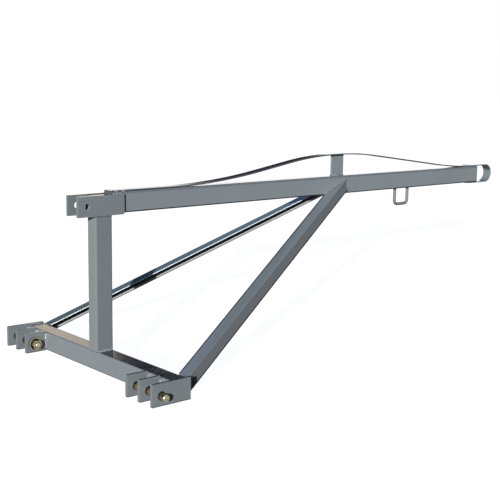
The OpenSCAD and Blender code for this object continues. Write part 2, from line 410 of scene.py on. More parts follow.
def painted_light_coat(tree, where, base, bands, zones, toes):
    """Bands and dark toes of painted shade, and zones of painted light and shade, over a base
    colour.

    Bands are (height where clear, height where full, amount). Zones are (facing direction,
    limits, colour), and each limit is (value to test, where clear, where full). Toes is the
    range of from_heel, in metres, over which the free edges of an angle go dark.
    """
    parts = xyz(tree, where)
    from_heel = add(tree, "ShaderNodeAttribute", attribute_name="from_heel").outputs["Fac"]
    for clear, full, amount in bands:
        base = blend_colour(tree, remap(tree, parts["Z"], clear, full, 0.0, amount), base, SHADE_LINE)
    for direction, limits, colour in zones:
        normal = add(tree, "ShaderNodeNewGeometry").outputs["Normal"]
        zone = remap(tree, facing(tree, normal, direction), 0.9, 0.97)
        for test, clear, full in limits:
            value = from_heel if test == "from_heel" else parts[test]
            zone = times(tree, zone, remap(tree, value, clear, full))
        base = blend_colour(tree, zone, base, colour)
    if toes:
        base = blend_colour(tree, remap(tree, from_heel, *toes), base, TOE_SHADE_LINE)
    return base


# %% [markdown]
# ## Grey powder coat
#
# Now the coat is put together: the tone, the wear and painted shade over it, the bands and
# zones of painted light and shade over that, a gloss that varies a little, and the orange
# peel as a bump. Its roughness is low, since fresh powder reflects the sky in faces that are
# seen at a flat angle.

# %% Material: grey powder coat


def grey_coat(name, tone, dimple=0.00002, wave=0.00008, top_under_shade=0.8, rim=0.8, edge=1.2 * MM,
              patches=0.0, toes=None, bands=(), zones=()):
    """Powder coat. Dimple and wave are heights in metres, edge is how wide a rim is."""
    material, tree, shader, where = start_material(name)
    base = coat_tone(tree, where, tone, patches)
    base, top_under_shade_mask = worn_lit_and_shaded_coat(tree, where, base, shade(tone, 2.4), rim, edge, top_under_shade)
    base = painted_light_coat(tree, where, base, bands, zones, toes)
    gloss = remap(tree, noise(tree, where, 40.0, detail=4.0), 0.3, 0.7, 0.08, 0.13)
    rough = maths(tree, "ADD", gloss, times(tree, top_under_shade_mask, 0.02))
    height = use_group(tree, COAT_SURFACE, {
        "Vector": where, "Dimple Height": dimple, "Wave Height": wave})["Height"]
    wire(tree, shader, {"Base Color": base, "Roughness": rough,
                        "Normal": bump(tree, height, 0.6)})
    return material


# %% [markdown]
# ## The coats of the frame
#
# All of the frame was sprayed with one powder, yet under the lamps its pieces don't look
# alike: a plate that hangs in shade, the bright front of the mast and the dark strap each
# read as a grey of their own. One material for all would be simpler, but then the lamps
# would have to make these differences. So the function above makes a lit or shaded copy of
# the coat for each kind of piece, with that light and shade painted into its tone. The
# tones and zones are matched to one view, and from other sides they are only plausible.

# %% Coats of tubes, plates, strap and welds
GREY = (0.2, 0.222, 0.232, 1.0)
BOOM_TOP, BOOM_UNDER = BOOM_Z[1], BOOM_Z[0]
COAT = grey_coat("grey powder coat", GREY)
# More painted shade on the crossmember's top and underside.
BEAM_COAT = grey_coat("crossmember coat", GREY, top_under_shade=1.0)
# Side darker as painted shade, and the front lighter as painted light.
MAST_COAT = grey_coat("mast coat", (0.158, 0.178, 0.188, 1.0),
                      zones=(((-1, 0, 0), (), (0.19, 0.209, 0.205, 1.0)),))
# A darker tone for the lugs, the near clevis plate and the eye: painted shade.
PLATE_COAT = grey_coat("plate coat", (0.17, 0.189, 0.196, 1.0))
# The far clevis plate darker still: painted shade.
SHADY_COAT = grey_coat("inner plate coat", (0.145, 0.162, 0.166, 1.0))
# A band of painted shadow on the post just under the strap.
POST_COAT = grey_coat("post coat", GREY,
                      bands=((CREST_Z - 5.6 * MM, CREST_Z - 4.6 * MM, 1.0),))
# Bands of painted shade along the boom's top corner and its bottom edge.
BOOM_COAT = grey_coat("boom coat", GREY,
                      bands=((BOOM_TOP - 8.5 * MM, BOOM_TOP - 6 * MM, 0.3),
                             (BOOM_UNDER + 5.6 * MM, BOOM_UNDER + 4.2 * MM, 0.85)))
# A much darker grey: painted shade on the strap.
STRAP_COAT = grey_coat("strap coat", (0.085, 0.09, 0.09, 1.0), rim=0.5)
# A band of painted shadow at the top of the loop, under the boom.
LOOP_COAT = grey_coat("loop coat", (0.17, 0.188, 0.192, 1.0),
                      bands=((BOOM_UNDER - 7 * MM, BOOM_UNDER - 4 * MM, 0.8),))
# A paler tone than the frame's: a painted highlight on the beads.
WELD_COAT = grey_coat("coated weld", (0.28, 0.303, 0.315, 1.0), dimple=0.00005, wave=0.0,
                      top_under_shade=0.0, rim=0.3, patches=0.8)
print("coats:", COAT.name, "to", WELD_COAT.name)

# %% Coats of the two angle irons
# Black for the painted shadows on the angles.
BLACK = (0.006, 0.007, 0.009, 1.0)
# Where the near brace's hanging leg looks, and where the inside of the far one's looks.
OUTER, INNER = (0.33, -0.94, 0.1), (-0.29, -0.95, -0.14)
FOOT_X, FOOT_TOP = BEAM_X[1], BEAM_Z[1]
# Near angle: wide pale rims as painted highlight, painted shade on the toes, a lighter outer
# flank as painted light, and a painted shadow of the outer lug near the foot.
NEAR_BRACE_COAT = grey_coat(
    "near brace coat", (0.16, 0.189, 0.207, 1.0), rim=1.0, edge=2.4 * MM,
    toes=(37.4 * MM, 38.8 * MM),
    zones=((OUTER, (), (0.186, 0.2, 0.203, 1.0)),
           (OUTER, (("X", FOOT_X + 45 * MM, FOOT_X + 42.5 * MM),
                    ("Z", FOOT_TOP - 5.2 * MM, FOOT_TOP - 6.6 * MM)), BLACK)))
# Far angle: wide pale rims as painted highlight, and on faces that look like the inside of
# its hanging leg a painted shadow next to the heel, a pale line of painted glare, a grey
# strip, and a painted highlight on the toe of the top leg.
FAR_BRACE_COAT = grey_coat(
    "far brace coat", (0.12, 0.15, 0.155, 1.0), rim=1.0, edge=2.4 * MM,
    zones=((INNER, (), (0.36, 0.375, 0.375, 1.0)),
           (INNER, (("from_heel", 29.5 * MM, 28.5 * MM),), BLACK),
           (INNER, (("from_heel", 32.5 * MM, 34 * MM),), (0.16, 0.165, 0.165, 1.0)),
           (INNER, (("from_heel", 40.6 * MM, 41.4 * MM),), (0.7, 0.75, 0.77, 1.0))))
print("coats:", NEAR_BRACE_COAT.name, "and", FAR_BRACE_COAT.name)

# %% [markdown]
# ## Yellow zinc plate
#
# The pins, washers and nuts are plated with zinc and passivated in chromate. The film is
# thin enough to make colours, so the gold drifts to green and pink from place to place.
# Such a film could be computed from its thickness, but two noises that mix three tints look
# the same at this size. Ends and flats that look along the pin keep the bright tint, and the
# flanks between them are darkened as a painted reflection of the dark ground and painted
# shade, most of all on the side away from the key lamp. Rims get a painted highlight and
# inner corners painted shade, and dark rings are painted: the nut's shadow on its washer,
# and shade on the nut round the stud.

# %% Tint, painted shade and painted shadow of the plating
PIN_X = sum(span("pin_washer_near", X)) / 2
PIN_Z = sum(span("pin_washer_near", Z)) / 2
WASHER_R = (span("pin_washer_near", X)[1] - span("pin_washer_near", X)[0]) / 2
GOLD, GREEN, PINK = (0.56, 0.5, 0.28, 1), (0.4, 0.43, 0.24, 1), (0.66, 0.5, 0.42, 1)
# Painted highlight on the rims of the plating.
BRIGHT_EDGE = (0.9, 0.88, 0.8, 1.0)
# Painted shade on the flanks, and painted shade in inner corners.
FLANK_SHADE, ZINC_CORNER_SHADE = (0.02, 0.016, 0.01, 1.0), (0.012, 0.011, 0.008, 1.0)
# Painted shade in a ring: the nut's shadow on its washer, and shade on the nut round the stud.
RING_SHADE_TONE = (0.01, 0.009, 0.006, 1.0)
# Away from the key lamp: flanks that look this way get the most painted shade.
AWAY = (0.85, 0.2, -0.5)


def zinc_tint(tree, where, flank_tone):
    """Gold tinted green and pink by two noises, and painted shade on flanks across the pin."""
    first = remap(tree, noise(tree, where, 30.0, detail=4.0), 0.4, 0.62)
    second = remap(tree, noise(tree, where, 45.0, detail=3.0), 0.52, 0.68)
    film = blend_colour(tree, second, blend_colour(tree, first, GOLD, GREEN), PINK)
    normal = add(tree, "ShaderNodeNewGeometry").outputs["Normal"]
    turned = maths(tree, "ABSOLUTE", xyz(tree, normal)["Y"])
    flank = remap(tree, turned, 0.75, 0.45, 0.0, 0.85)
    away = facing(tree, normal, AWAY)
    shaded = blend_colour(tree, remap(tree, away, -0.5, 0.2), flank_tone, FLANK_SHADE)
    return blend_colour(tree, flank, film, shaded)


def painted_ring_shade(tree, where, film, ring):
    """Painted shade inside a radius, sqrt((x - pin x) ** 2 + (z - pin z) ** 2), about the pin's
    axis.
    """
    parts = xyz(tree, where)
    aside = maths(tree, "POWER", maths(tree, "SUBTRACT", parts["X"], PIN_X), 2.0)
    above = maths(tree, "POWER", maths(tree, "SUBTRACT", parts["Z"], PIN_Z), 2.0)
    radius = maths(tree, "SQRT", maths(tree, "ADD", aside, above))
    inside = remap(tree, radius, ring + 0.4 * MM, ring - 0.4 * MM)
    return blend_colour(tree, inside, film, RING_SHADE_TONE)


# %% Material: yellow zinc


def yellow_zinc(name, flank_tone, reach, ring=None):
    """Plated metal. Reach is how far from an inner corner the painted shade goes, in metres."""
    material, tree, shader, where = start_material(name)
    film = zinc_tint(tree, where, flank_tone)
    edges = use_group(tree, WORN_AND_LIT_EDGES, {"Vector": where, "Radius": 0.0006,
                                         "Chip Scale": 500.0})
    # Painted highlight on the rims.
    film = blend_colour(tree, times(tree, edges["Rim"], 0.7), film, BRIGHT_EDGE)
    corner = use_group(tree, CORNER_SHADE, {"Distance": reach})["Mask"]
    # Painted shade in inner corners.
    film = blend_colour(tree, times(tree, corner, 0.95), film, ZINC_CORNER_SHADE)
    # The painted ring of shade and shadow about the pin.
    if ring:
        film = painted_ring_shade(tree, where, film, ring)
    shader.inputs["Metallic"].default_value = 0.5
    rough = remap(tree, noise(tree, where, 300.0, detail=5.0), 0.3, 0.7, 0.2, 0.36)
    fine = times(tree, noise(tree, where, 1500.0, detail=2.0), 0.000006)
    wire(tree, shader, {"Base Color": film, "Roughness": rough,
                        "Normal": bump(tree, fine, 0.5)})
    return material


# Each flank tone is the painted shade of that part's flanks.
ZINC = yellow_zinc("yellow zinc pin", (0.17, 0.105, 0.05, 1.0), 22 * MM)
NUT_ZINC = yellow_zinc("yellow zinc nut", (0.12, 0.095, 0.035, 1.0), 10 * MM,
                       ring=11.8 * MM)
WASHER_ZINC = yellow_zinc("yellow zinc washer", (0.05, 0.045, 0.03, 1.0), 10 * MM,
                          ring=WASHER_R - 3 * MM)
print("plating:", ZINC.name, NUT_ZINC.name, WASHER_ZINC.name, sep=", ")

# %% [markdown]
# ## Finish the solids
#
# Every solid whose shape is right keeps it and gets its material. Sawn plates don't have
# razor edges, so a bevel modifier breaks theirs by about half a millimetre, after a weld
# modifier has joined the loose triangles. The edges could be rounded in the mesh, but
# modifiers leave the mesh itself alone.

# %% Dress the solids
EDGE_BREAK = 0.6 * MM
SHARP = np.radians(40)


def dress(node, material):
    """Gives a solid its one material."""
    mesh = node.data
    mesh.materials.clear()
    mesh.materials.append(material)


def break_edges(node):
    """Rounds every edge that turns by more than the sharp angle, without touching the mesh."""
    join = node.modifiers.new("join", "WELD")
    join.merge_threshold = 0.00001
    bevel = node.modifiers.new("break edges", "BEVEL")
    bevel.width = EDGE_BREAK
    bevel.segments = 2
    bevel.limit_method = "ANGLE"
    bevel.angle_limit = SHARP


FINISH = {"mast": MAST_COAT, "mast_cap": MAST_COAT, "clevis_plate_near": PLATE_COAT,
          "clevis_plate_far": SHADY_COAT, "strut_post": POST_COAT, "boom": BOOM_COAT,
          "crossmember": BEAM_COAT, "chain_loop": LOOP_COAT}
for name, node in NODES.items():
    plain = PLATE_COAT if name.startswith("lug_") else COAT
    metal = name.startswith(("hitch_pin", "pin_"))
    zinc = NUT_ZINC if "nut" in name else WASHER_ZINC if "washer" in name else ZINC
    dress(node, zinc if metal else FINISH.get(name, plain))
    if name.startswith(("lug_", "clevis_plate", "mast_cap")):
        break_edges(node)
print("dressed:", len(NODES), "solids")

# %% [markdown]
# ## Making a surface from arrays
#
# The bars, angles and beads are all one kind of shape: a closed section that is carried
# along a path. Blender's curve tools could extrude them, but a grid of points keeps every
# size in plain sight. Its rows are rings, one section each, that follow one another. The
# helpers below join the rings with quads, close both ends, see that the faces look
# outwards, and make an object that rides on a body.

# %% Mesh helpers


def make_piece(name, points, faces, material, body="frame"):
    """Makes an object from points in metres and faces, and lets it ride on a body."""
    mesh = bpy.data.meshes.new(name)
    mesh.from_pydata(points.reshape(-1, 3).tolist(), [], faces)
    mesh.materials.append(material)
    mesh.shade_smooth()
    mesh.set_sharp_from_angle(angle=SHARP)
    piece = bpy.data.objects.new(name, mesh)
    bpy.context.scene.collection.objects.link(piece)
    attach(piece, body)
    return piece


def ring_faces(rings, around):
    """Quads between neighbouring rings, with the two ends closed by one face each."""
    row = np.arange(rings - 1)[:, None] * around
    col = np.arange(around)[None, :]
    beside = (col + 1) % around
    quads = np.stack([row + col, row + beside, row + around + beside, row + around + col],
                     axis=-1)
    first_ring, last_ring = np.arange(around), np.arange(around) + (rings - 1) * around
    return quads.reshape(-1, 4).tolist() + [first_ring[::-1].tolist(), last_ring.tolist()]


def outward(points, faces):
    """Turns all faces if the volume they enclose comes out negative.

    Six times the volume is the sum of a . (b x c) over triangles, and each face is split
    into a fan of them from its first corner.
    """
    fans = [np.array([[face[0]] * (len(face) - 2), face[1:-1], face[2:]]) for face in faces]
    a, b, c = points.reshape(-1, 3)[np.hstack(fans)]
    volume = np.sum(a * np.cross(b, c))
    return faces if volume > 0 else [face[::-1] for face in faces]


def even_shading(piece):
    """Lets wide flats decide the shading beside a narrow rounded edge."""
    even = piece.modifiers.new("even shading", "WEIGHTED_NORMAL")
    even.keep_sharp = True


# %% [markdown]
# ## The path of a bent bar
#
# A bar that was bent in a press is straights and arcs that join along their tangents. Its
# path could be a list of points, but a list of runs is nearer to how the bar was made: how
# long each run is and how far it turns. Heading grows evenly along a run, and the place
# follows from the heading in closed form.

# %% Path from runs and turns


def bent_path(start, runs, steps):
    """Points and headings along a path in the X-Z plane.

    Along a run of length L that turns by T, the heading is h(s) = h0 + T s / L, and the
    place is p0 + L / T (sin h - sin h0, cos h0 - cos h), or a straight where T is 0.
    """
    place, heading = np.array(start, float), 0.0
    points, headings = [], []
    for (length, turn), count in zip(runs, steps):
        s = np.linspace(0, 1, count, endpoint=False)[:, None]
        turn = np.radians(turn)
        h = heading + turn * s
        if abs(turn) < 1e-9:
            step = length * s * np.array([np.cos(heading), np.sin(heading)])
            last = length * np.array([np.cos(heading), np.sin(heading)])
        else:
            radius = length / turn
            step = radius * np.hstack([np.sin(h) - np.sin(heading),
                                       np.cos(heading) - np.cos(h)])
            end = heading + turn
            last = radius * np.array([np.sin(end) - np.sin(heading),
                                      np.cos(heading) - np.cos(end)])
        points.append(place + step)
        headings.append(h[:, 0])
        place, heading = place + last, heading + turn
    points.append(place[None, :])
    headings.append(np.array([heading]))
    return np.vstack(points), np.concatenate(headings)


# %% [markdown]
# ## The section of a flat bar
#
# Hot-rolled flat bar has edges that the rolls leave slightly round. A cube with a bevel
# would show this on a straight piece, but a bar that bends needs it all along. So the
# section is drawn once, four corner arcs joined by straights, and is carried along the
# path, always square to it.

# %% Section of a flat bar and its sweep


def bar_section(width, thick, edge, corner_steps=4):
    """Outline of a flat bar: quarter circles of radius edge, across in Y, up from 0 to thick."""
    angle = np.linspace(0, np.pi / 2, corner_steps)
    outline = []
    corners = ((1, 1, 0.0), (-1, 1, np.pi / 2), (-1, -1, np.pi), (1, -1, 1.5 * np.pi))
    for side, up, turn in corners:
        across = side * (width / 2 - edge) + edge * np.cos(angle + turn)
        height = thick / 2 + up * (thick / 2 - edge) + edge * np.sin(angle + turn)
        outline.append(np.stack([across, height], axis=1))
    return np.vstack(outline)


def sweep_bar(path, headings, section):
    """Carries a section along a path: up is the path's left side, across is Y."""
    up = np.stack([-np.sin(headings), np.cos(headings)], axis=1)
    across, height = section[:, 0], section[:, 1]
    points = np.zeros((len(path), len(section), 3))
    points[:, :, 0] = path[:, None, 0] + up[:, None, 0] * height
    points[:, :, 1] = across
    points[:, :, 2] = path[:, None, 1] + up[:, None, 1] * height
    return points


# %% [markdown]
# ## The strap
#
# The strap lies on the boom, lifts off it, crosses the head of the post and comes down to
# the boom again before the eye. The solid shows its bends in short flats, so here it is
# swept again along its true arcs and stands for its solid. The way up has a given slope,
# and the way down is the one slope that meets both the crest's arc and the foot's.

# %% Strap
RISE_SLOPE = 9.5
CREST_BEND, RISE_BEND, FALL_BEND = 1.55, 2.45, 1.5
REAR_FOOT = 2 * MM
ROLLED_EDGE = 0.9 * MM


def strap_runs(start_x, end_x, foot_x, crest_x, rise):
    """Runs and turns of the strap's underside, from its front end to the eye.

    Two arcs of radii R and r that share a slope t lift the bar by (R + r) (1 - cos t), and
    the straight between them lifts it by the rest.
    """
    slope = np.radians(RISE_SLOPE)
    bends = CREST_BEND + RISE_BEND
    up_run = (rise - bends * (1 - np.cos(slope))) / np.sin(slope)
    lift_x = crest_x - bends * np.sin(slope) - up_run * np.cos(slope)
    bends = CREST_BEND + FALL_BEND
    reach, drop = foot_x - crest_x, bends - rise
    fall = np.arcsin(bends / np.hypot(reach, drop)) - np.arctan2(drop, reach)
    down_run = (rise - bends * (1 - np.cos(fall))) / np.sin(fall)
    return [(lift_x - start_x, 0), (RISE_BEND * slope, RISE_SLOPE), (up_run, 0),
            (CREST_BEND * (slope + fall), -RISE_SLOPE - np.degrees(fall)),
            (down_run, 0), (FALL_BEND * fall, np.degrees(fall)), (end_x - foot_x, 0)]


post_x = sum(span("strut_post", X)) / 2
strap_start, strap_end = span("truss_strap", X)
strap_side = span("truss_strap", Y)[1]
crest_rise = span("truss_strap", Z)[1] - BAR_T - BOOM_Z[1]
BAR = bar_section(2 * strap_side, BAR_T, ROLLED_EDGE)
runs = strap_runs(strap_start, strap_end, strap_end - REAR_FOOT, post_x, crest_rise)
path, headings = bent_path((strap_start, BOOM_Z[1]), runs, (8, 24, 10, 48, 10, 24, 3))
points = sweep_bar(path, headings, BAR)
faces = outward(points, ring_faces(len(path), len(BAR)))
strap = make_piece("truss_strap_bar", points, faces, STRAP_COAT)
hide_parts("truss_strap")
even_shading(strap)
print("strap ends at", np.round(path[-1], 3), "with its crest at", round(crest_rise, 4))

# %% [markdown]
# ## The end eye
#
# The same bar goes on round the open tip of the boom and back under it, as an eye for a
# shackle. It could be a torus cut in half with two boxes, but a bent bar is again a list
# of runs: a leg, half a turn about the boom's tip, and a leg.

# %% End eye
eye_start, eye_end = span("end_eye", X)
eye_bend = (BOOM_Z[1] - BOOM_Z[0]) / 2
eye_leg = eye_end - eye_bend - BAR_T - eye_start
runs = [(eye_leg, 0), (np.pi * eye_bend, -180), (eye_leg, 0)]
path, headings = bent_path((eye_start, BOOM_Z[1]), runs, (4, 64, 4))
points = sweep_bar(path, headings, BAR)
faces = outward(points, ring_faces(len(path), len(BAR)))
eye = make_piece("end_eye_bar", points, faces, PLATE_COAT)
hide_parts("end_eye")
even_shading(eye)
print("eye starts at", np.round(path[0], 3), "and ends at", np.round(path[-1], 3))

# %% [markdown]
# ## The section of an angle iron
#
# Hot-rolled angle has a crisp heel, a round fillet inside it, and toes that are rounded
# on their inner side. Two boxes would miss all three, and they are what the light shows.
# So the section is an outline of four arcs and the flats between them. The heel is at its
# origin: one leg lies level and the other hangs.

# %% Section of an angle iron
ANGLE_LEG, ANGLE_T = 43.5 * MM, 4.8 * MM
TOE_R, FILLET_R, HEEL_R = 2.6 * MM, 4 * MM, 0.8 * MM
TOE_BREAK = 0.4 * MM


def arc(centre, radius, start, stop, steps=6):
    """Points of a circle's arc: centre + radius (cos a, sin a), a in degrees."""
    a = np.radians(np.linspace(start, stop, steps))
    return np.array(centre) + radius * np.stack([np.cos(a), np.sin(a)], axis=1)


def angle_outline(leg, thick, hang):
    """Section of the angle: one leg lies along +s, one hangs along -h, heel at zero."""
    toe, low, inner = leg - TOE_R, hang - TOE_R, thick + FILLET_R
    return np.vstack([
        arc((HEEL_R, -HEEL_R), HEEL_R, 180, 90, 4),
        [[leg - TOE_BREAK, 0.0], [leg, -TOE_BREAK]],
        arc((toe, TOE_R - thick), TOE_R, 0, -90),
        arc((inner, -inner), FILLET_R, 90, 180),
        arc((thick - TOE_R, -low), TOE_R, 0, -90),
        [[TOE_BREAK, -hang], [0.0, TOE_BREAK - hang]]])


print("angle's outline:", len(angle_outline(ANGLE_LEG, ANGLE_T, ANGLE_LEG)), "points")

# %% [markdown]
# ## The angle braces
#
# Each brace runs from the crossmember's end up to the boom's side, at a slant in two
# directions, and is turned a few degrees about its heel by the way it was clamped for
# welding. Its ends could be cut with booleans, but there is a neater way: every point of
# the section runs along the bar's own direction, and starts and stops where that line
# meets the crossmember's back and the boom's side. So the mitres come out exactly flat.
#
# The far brace's hanging leg and both turns are fitted to the outline in one photograph.
# The real braces are most likely the same bar.

# %% Angle braces
BRACE_TURN = {-1: 4.0, 1: 5.0}
HANG = {-1: 43.5 * MM, 1: 38.5 * MM}
FOOT_INSET, FOOT_DROP = 4 * MM, 1 * MM
HEAD_PAST_POST, HEAD_DROP = 30 * MM, 13.5 * MM


def brace_axes(along, turn_degrees):
    """Unit vectors of a bar: along it, level across it, and up, turned about the first."""
    tilt = np.arctan2(along[2], along[0])
    yaw = np.arctan2(-along[1], np.hypot(along[0], along[2]))
    u = np.array([np.cos(yaw) * np.cos(tilt), -np.sin(yaw), np.cos(yaw) * np.sin(tilt)])
    v = np.array([-np.sin(yaw) * np.cos(tilt), -np.cos(yaw), -np.sin(yaw) * np.sin(tilt)])
    w = np.array([-np.sin(tilt), 0.0, np.cos(tilt)])
    turn = np.radians(turn_degrees)
    return u, v * np.cos(turn) + w * np.sin(turn), w * np.cos(turn) - v * np.sin(turn)


def brace_lines(side, rows=12):
    """Grid of one brace: point = foot + s v + h w + t u, with t from plane to plane."""
    plate = f"lug_{'near' if side < 0 else 'far'}_outer"
    lug_side = min(abs(y) for y in span(plate, Y))
    post_mid = sum(span("strut_post", X)) / 2
    foot = np.array([BEAM_X[1], lug_side - FOOT_INSET, BEAM_Z[1] - FOOT_DROP])
    head = np.array([post_mid + HEAD_PAST_POST, MAST_Y[1], BOOM_Z[1] - HEAD_DROP])
    u, v, w = brace_axes(head - foot, BRACE_TURN[side])
    outline = angle_outline(ANGLE_LEG, ANGLE_T, HANG[side])
    at = foot + outline[:, :1] * v + outline[:, 1:] * w
    first = (BEAM_X[1] - at[:, 0]) / u[0]
    last = (MAST_Y[1] - at[:, 1]) / u[1]
    t = first + np.linspace(0, 1, rows)[:, None] * (last - first)
    points = at + t[..., None] * u
    points[..., 1] *= side
    return points


for side, name in SIDES:
    points = brace_lines(side)
    faces = outward(points, ring_faces(*points.shape[:2]))
    coat = NEAR_BRACE_COAT if side < 0 else FAR_BRACE_COAT
    brace = make_piece(f"brace_{name}_angle", points, faces, coat)
    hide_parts(f"brace_{name}")
    section = angle_outline(ANGLE_LEG, ANGLE_T, HANG[side])
    from_heel = np.tile(np.maximum(section[:, 0], -section[:, 1]), len(points))
    layer = brace.data.attributes.new("from_heel", "FLOAT", "POINT")
    layer.data.foreach_set("value", from_heel.astype(np.float32))
    even_shading(brace)
    print("brace", name, "from", np.round(points[0, 0], 3), "to", np.round(points[-1, 0], 3))

# %% [markdown]
# ## Weld beads
#
# The frame is held by fillet welds. Where two pieces meet, the torch leaves a bulging
# triangle of metal with a scallop every few millimetres. A texture could draw the ripples
# on a plain strip, but a bead stands out against the light, so it is real geometry: two
# ends, the directions that lie on the two surfaces, and a leg size that ripples along the
# bead and shrinks at its ends. Over a seam between level pieces a bead is a low dome.

# %% One weld bead
BEAD_LEG = 5.5 * MM
RIPPLE = 3.2 * MM
BUTT_RISE = 0.4
ROOT_DEPTH = 0.4 * MM


def seam(x, y, z):
    """The two ends of a bead. Each coordinate is one value, or a pair from end to end."""
    return np.stack([np.broadcast_to(value, 2) for value in (x, y, z)], axis=1)


def bead_size(name, at, total, leg):
    """Leg size along a bead: leg * (0.92 + wander + 0.16 |sin(pi s / ripple)| ** 0.7).

    A half circle over the last leg length closes each end, and the bead's name shifts the
    wander, so that no two beads are alike.
    """
    seed = sum(ord(letter) for letter in name)
    wander = 0.07 * np.sin(at / 0.021 + seed) + 0.05 * np.sin(at / 0.0083 + 2 * seed)
    scallop = 0.16 * np.abs(np.sin(np.pi * at / RIPPLE + wander * 6)) ** 0.7
    ease = np.clip(np.minimum(at, total - at) / leg, 0, 1)
    return leg * (0.92 + wander + scallop) * np.sqrt(1 - (1 - ease) ** 2) + 0.02 * MM


def bead(name, ends, first, second, leg=BEAD_LEG, butt=False):
    """One weld bead between two ends, on the surfaces that run along first and second.

    At angle t from the first surface, the skin lies at size * (0.55 / (cos t + sin t) +
    0.45) from the corner, between a straight fillet and a round one. A butt bead is size *
    (cos t, 0.4 sin t) instead, for t up to a half turn.
    """
    start, end = np.asarray(ends, float)
    a, b = np.asarray(first, float), np.asarray(second, float)
    total = np.linalg.norm(end - start)
    at = np.linspace(0, total, max(12, int(total / (RIPPLE / 5))) + 1)
    lay = start + (at / total)[:, None] * (end - start)
    size = bead_size(name, at, total, leg)
    t = np.linspace(0, np.pi if butt else np.pi / 2, 9)
    bulge = 1.0 + 0 * t if butt else 0.55 / (np.cos(t) + np.sin(t)) + 0.45
    skin = size[:, None] * bulge
    rise = BUTT_RISE if butt else 1.0
    points = (lay[:, None, :] + (skin * np.cos(t))[..., None] * a
              + rise * (skin * np.sin(t))[..., None] * b)
    root = lay - ROOT_DEPTH * (b if butt else a + b)
    points = np.concatenate([points, root[:, None, :]], axis=1)
    faces = outward(points, ring_faces(len(at), points.shape[1]))
    return make_piece(name, points, faces, WELD_COAT)


# %% [markdown]
# ## Beads on the mast and the post
#
# The mast stands on the crossmember in a fillet along each side. The clevis plates lie on
# the mast and the boom, and are welded over and under. The post is welded at its foot.
# Each bead needs only two ends, read from the boxes of the pieces that it joins, and stays
# off the round corners of the tubes, where there is no surface to lie on.

# %% Beads on the mast and the post
TUBE_R = 6 * MM
FLAT = TUBE_R * 0.9
UP, DOWN, FRONT, REAR = (0, 0, 1), (0, 0, -1), (-1, 0, 0), (1, 0, 0)


def mast_beads(side, name):
    """Beads at the mast's foot, over and under a clevis plate, and at the post's foot."""
    out, face = (0, side, 0), side * MAST_Y[1]
    across_beam = (BEAM_X[0] + FLAT, BEAM_X[1] - FLAT)
    plate_x, plate_z = span(f"clevis_plate_{name}", X), span(f"clevis_plate_{name}", Z)
    over_plate = (BEAM_X[1] + 2 * MM, plate_x[1] - MM)
    post_x, post_face = span("strut_post", X), side * span("strut_post", Y)[1]
    return [
        bead(f"bead_mast_foot_{name}", seam(across_beam, face, BEAM_Z[1]), out, UP),
        bead(f"bead_clevis_top_{name}", seam(over_plate, face, plate_z[1]), out, UP,
             leg=4.5 * MM),
        bead(f"bead_clevis_under_{name}", seam(across_beam, face, plate_z[0]), out, DOWN,
             leg=5 * MM),
        bead(f"bead_post_foot_{name}", seam(post_x, post_face, BOOM_Z[1]), out, UP,
             leg=5 * MM)]


# %% [markdown]
# ## Beads on the lugs
#
# The middle and inner lugs are welded to the crossmember's front on both their faces. The
# outer ones cover its open ends, with a bead along the top and one down the front.

# %% Beads on the lugs


def lug_beads(side, name):
    """Beads on both faces of two lugs, and along the top and front of the end cover."""
    made = []
    for place in ("middle", "inner"):
        lug = f"lug_{name}_{place}"
        for face, away in zip(span(lug, Y), (-1, 1)):
            end = "in" if away * side < 0 else "out"
            height = (BEAM_Z[0] + FLAT, BEAM_Z[1] - FLAT / 2)
            made.append(bead(f"bead_{lug}_{end}", seam(BEAM_X[0], face, height), FRONT,
                             (0, away, 0), leg=5 * MM))
    cover, inward = min(span(f"lug_{name}_outer", Y), key=abs), (0, -side, 0)
    top = seam((BEAM_X[0] + FLAT, BEAM_X[1] - FLAT), cover, BEAM_Z[1])
    front = seam(BEAM_X[0], cover, (BEAM_Z[0] + FLAT, BEAM_Z[1] - FLAT))
    made.append(bead(f"bead_beam_end_top_{name}", top, inward, UP, leg=4.5 * MM))
    made.append(bead(f"bead_beam_end_front_{name}", front, inward, FRONT, leg=4.5 * MM))
    return made


# %% [markdown]
# ## Beads on the braces
#
# A brace is welded where its head meets the boom, along the top leg and down the outer
# one, and where its foot meets the crossmember. Its mitred ends fit no box, so the ends
# of these beads are taken from the brace's own grid: the first and last rings, at the
# points of the heel, the top toe and the hanging toe.

# %% Beads on the braces
HEEL_SIDE, HEEL_TOP, TOP_TOE, HANGING_TOE = 0, 3, 4, -1


def brace_beads(side, name):
    """Beads along the top and side of a brace's head, and along the top of its foot."""
    grid = brace_lines(side)
    foot, head = grid[0], grid[-1]
    back = (foot[0] - head[0]) / np.linalg.norm(foot[0] - head[0])
    return [
        bead(f"bead_brace_head_top_{name}", (head[HEEL_TOP], head[TOP_TOE]), UP, back,
             leg=4 * MM),
        bead(f"bead_brace_head_side_{name}", (head[HEEL_SIDE], head[HANGING_TOE]), REAR,
             (0, side, 0), leg=4 * MM, butt=True),
        bead(f"bead_brace_foot_top_{name}", (foot[HEEL_TOP], foot[TOP_TOE]), REAR, UP,
             leg=3 * MM, butt=True)]


# %% [markdown]
# ## Beads on the strap
#
# The strap is held by two short stitches at its front end and a longer one at its rear,
# on both edges. Stitches are usual here, as a long bead would warp so thin a bar.

# %% Beads on the strap, and all the paired ones
STITCH, STITCH_STARTS = 16 * MM, (12 * MM, 40 * MM)


